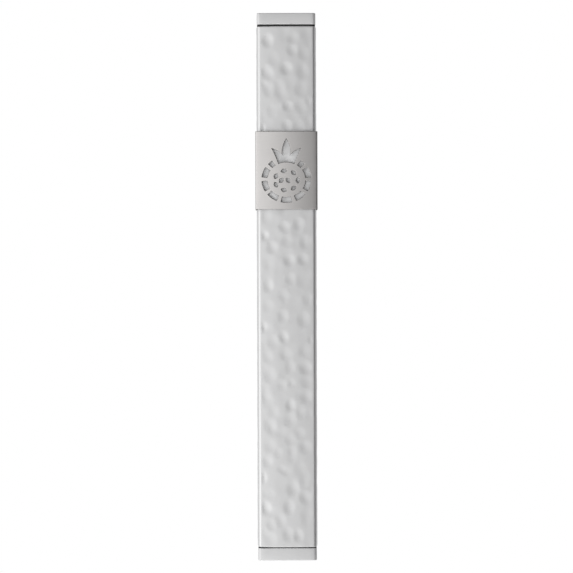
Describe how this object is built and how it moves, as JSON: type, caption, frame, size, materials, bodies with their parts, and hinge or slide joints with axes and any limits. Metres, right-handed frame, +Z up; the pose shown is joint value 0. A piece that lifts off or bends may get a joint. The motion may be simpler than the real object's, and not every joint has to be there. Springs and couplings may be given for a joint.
{
  "type": "mezuzah case",
  "caption": "Slim upright doorpost case: a hammered aluminium tube with push-in end caps, a clip-on steel sleeve cut out as a pomegranate and a rolled parchment inside.",
  "frame": {"origin": "centre of the mounting tape's back face, which rests on the doorpost, at mid-height", "axes": "+Z up along the case, -Y out of the decorated front, +X to the right seen from the front"},
  "size_m": [0.0248, 0.0155, 0.218],
  "materials": {
    "hammered_aluminium": "hammered, satin",
    "sanded_aluminium": "fine sanded, satin",
    "brushed_steel": "brushed",
    "black_nylon": "moulded, matte",
    "zinc_steel": "zinc plated",
    "foam_tape": "closed-cell foam",
    "parchment": "matte, blank",
    "clear_film": "clear film"
  },
  "bodies": {
    "case": {"case_tube": "hammered_aluminium", "mounting_tape": "foam_tape"},
    "sleeve": {"pomegranate_sleeve": "brushed_steel"},
    "top_closure": {"top_cap": "sanded_aluminium", "top_plug": "black_nylon", "top_cap_screw_left": "zinc_steel", "top_cap_screw_right": "zinc_steel"},
    "bottom_closure": {"bottom_cap": "sanded_aluminium", "bottom_plug": "black_nylon", "bottom_cap_screw_left": "zinc_steel", "bottom_cap_screw_right": "zinc_steel"},
    "scroll": {"parchment_scroll": "parchment", "scroll_wrapper": "clear_film"}
  },
  "joints": [
    {"name": "sleeve_slide", "type": "slide", "parent": "case", "child": "sleeve", "axis": [0, 0, 1], "range_m": [-0.134, 0.041], "stiffness_N_per_m": 0.1, "springref_m": 0.487},
    {"name": "top_cap_pull", "type": "slide", "parent": "case", "child": "top_closure", "axis": [0, 0, 1], "range_m": [0, 0.02]},
    {"name": "bottom_cap_pull", "type": "slide", "parent": "case", "child": "bottom_closure", "axis": [0, 0, -1], "range_m": [0, 0.135], "stiffness_N_per_m": 0.1, "springref_m": -1},
    {"name": "scroll_lift", "type": "slide", "parent": "bottom_closure", "child": "scroll", "axis": [0, 0, 1], "range_m": [0, 0.06]}
  ]
}
